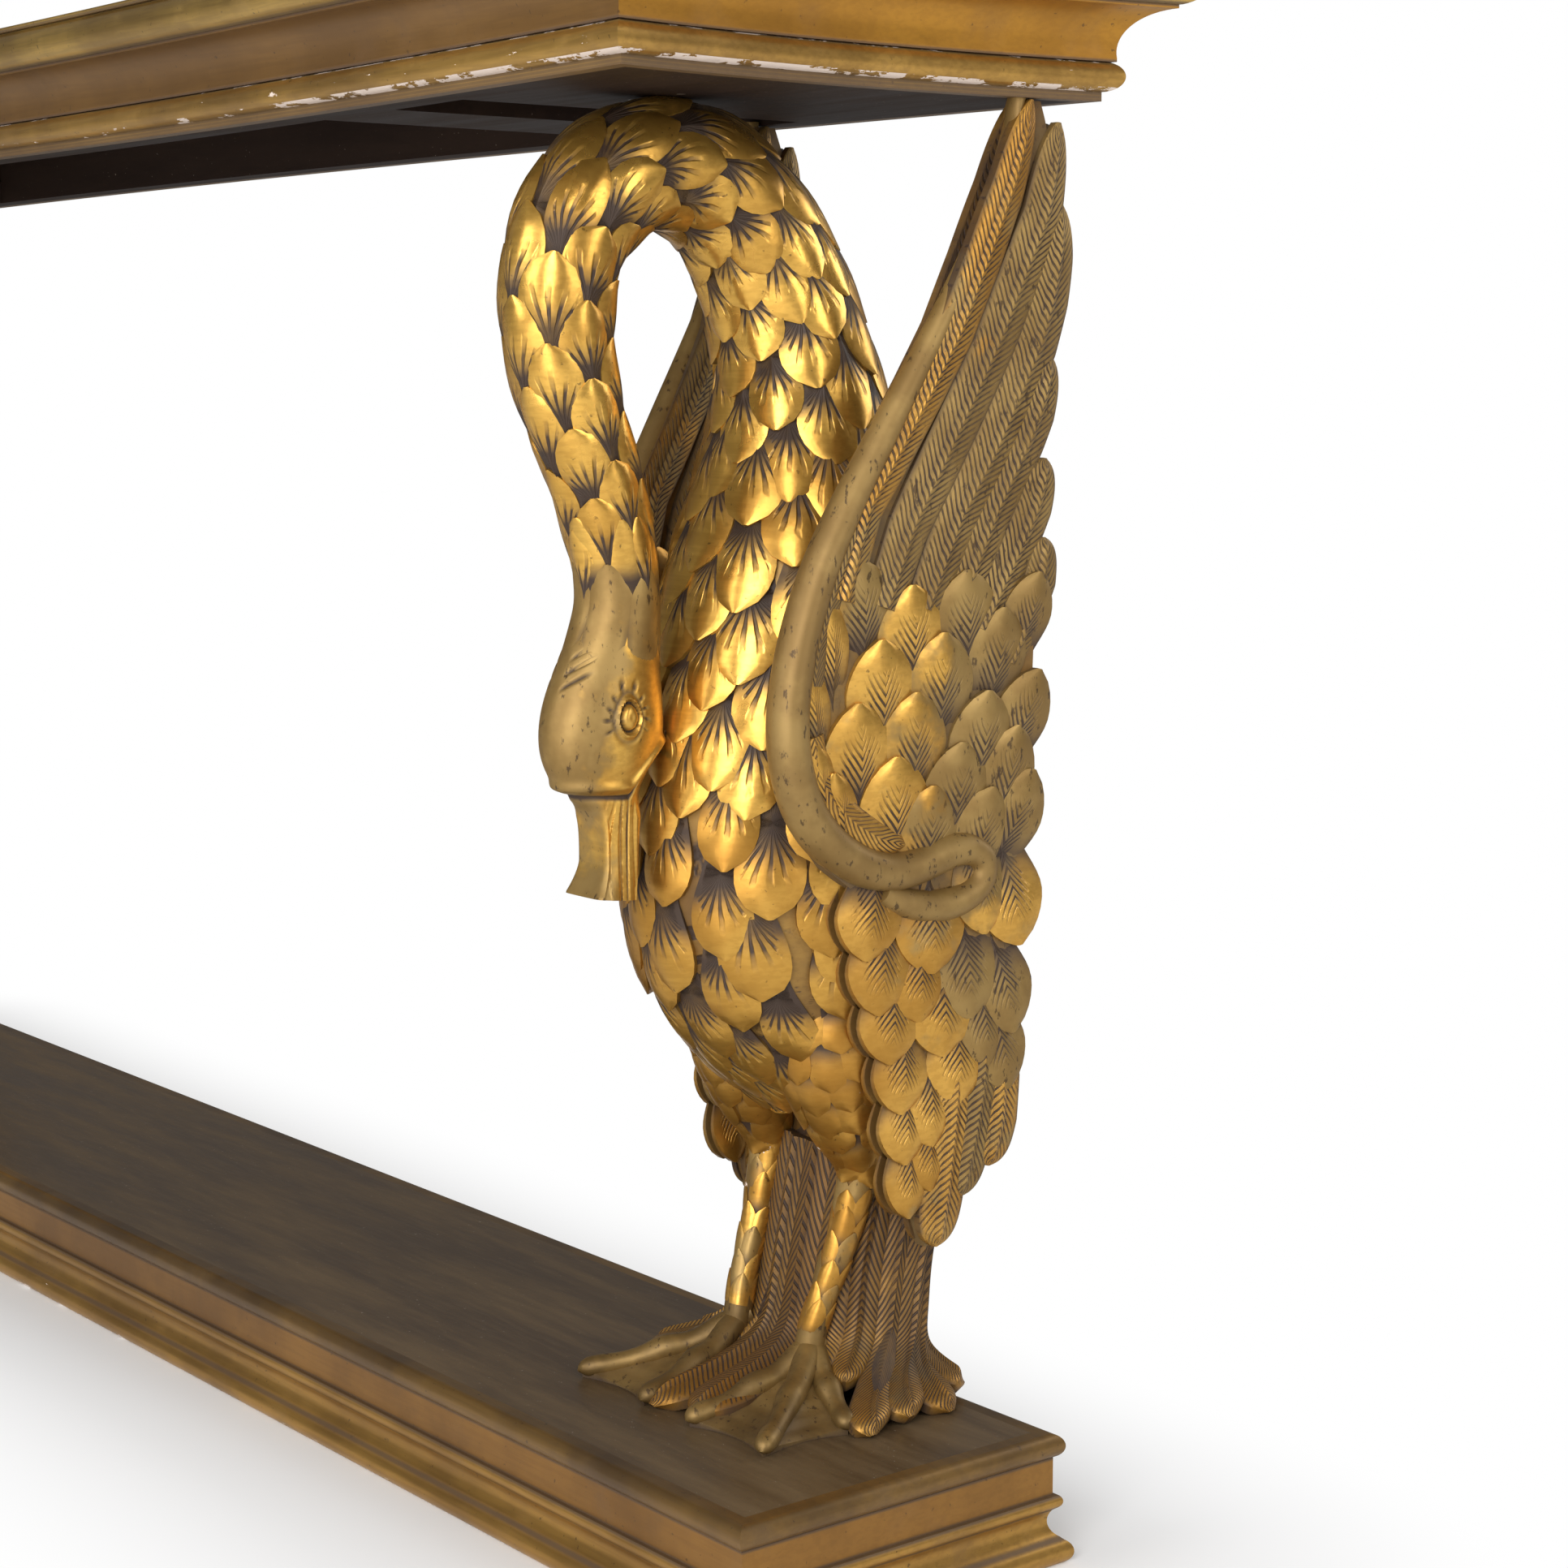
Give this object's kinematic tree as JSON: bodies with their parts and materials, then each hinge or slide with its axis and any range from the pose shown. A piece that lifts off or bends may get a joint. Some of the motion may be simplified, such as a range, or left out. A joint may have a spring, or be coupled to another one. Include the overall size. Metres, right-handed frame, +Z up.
{
  "type": "console table",
  "caption": "Long narrow console table: a waisted marble-topped frieze carried by two carved swans standing on a moulded plinth.",
  "frame": {"origin": "centre of the plinth's underside, on the floor", "axes": "+X along the table's length, -Y the side the swans face, +Z up"},
  "size_m": [1.7558, 0.4036, 0.89],
  "materials": {
    "carved_gilt": "worn water gilding over gesso, burnished",
    "gilt_moulding": "worn gilding, satin",
    "bronzed_fascia": "bronze paint, rubbed",
    "stained_board": "dark brown paint, satin",
    "dark_carcass": "dark stain, matt",
    "bare_wood": "bare pine, aged",
    "marble": "polished, dark brown with pale veins",
    "screw_steel": "dull"
  },
  "bodies": {
    "root": {"apron_back": "dark_carcass", "apron_front": "dark_carcass", "apron_left": "dark_carcass", "apron_right": "dark_carcass", "back_batten": "bare_wood", "fascia_back": "bronzed_fascia", "fascia_front": "bronzed_fascia", "fascia_left": "bronzed_fascia", "fascia_right": "bronzed_fascia", "foot_moulding_back": "gilt_moulding", "foot_moulding_front": "gilt_moulding", "foot_moulding_left": "gilt_moulding", "foot_moulding_right": "gilt_moulding", "frieze_bead_back": "gilt_moulding", "frieze_bead_front": "gilt_moulding", "frieze_bead_left": "gilt_moulding", "frieze_bead_right": "gilt_moulding", "frieze_cove_back": "gilt_moulding", "frieze_cove_front": "gilt_moulding", "frieze_cove_left": "gilt_moulding", "frieze_cove_right": "gilt_moulding", "front_batten": "bare_wood", "left_cross_rail": "dark_carcass", "left_swan_board": "dark_carcass", "left_swan_board_screws": "screw_steel", "left_swan_body": "carved_gilt", "left_swan_head": "carved_gilt", "left_swan_inner_foot": "carved_gilt", "left_swan_inner_leg": "carved_gilt", "left_swan_inner_wing": "carved_gilt", "left_swan_neck": "carved_gilt", "left_swan_outer_foot": "carved_gilt", "left_swan_outer_leg": "carved_gilt", "left_swan_outer_wing": "carved_gilt", "left_swan_tail": "carved_gilt", "marble_top": "marble", "nosing_back": "gilt_moulding", "nosing_front": "gilt_moulding", "nosing_left": "gilt_moulding", "nosing_right": "gilt_moulding", "plinth_board": "stained_board", "plinth_glue_blocks": "bare_wood", "right_cross_rail": "dark_carcass", "right_swan_board": "dark_carcass", "right_swan_board_screws": "screw_steel", "right_swan_body": "carved_gilt", "right_swan_head": "carved_gilt", "right_swan_inner_foot": "carved_gilt", "right_swan_inner_leg": "carved_gilt", "right_swan_inner_wing": "carved_gilt", "right_swan_neck": "carved_gilt", "right_swan_outer_foot": "carved_gilt", "right_swan_outer_leg": "carved_gilt", "right_swan_outer_wing": "carved_gilt", "right_swan_tail": "carved_gilt", "rim_back": "gilt_moulding", "rim_front": "gilt_moulding", "rim_left": "gilt_moulding", "rim_right": "gilt_moulding", "top_glue_blocks": "bare_wood"}
  },
  "joints": []
}
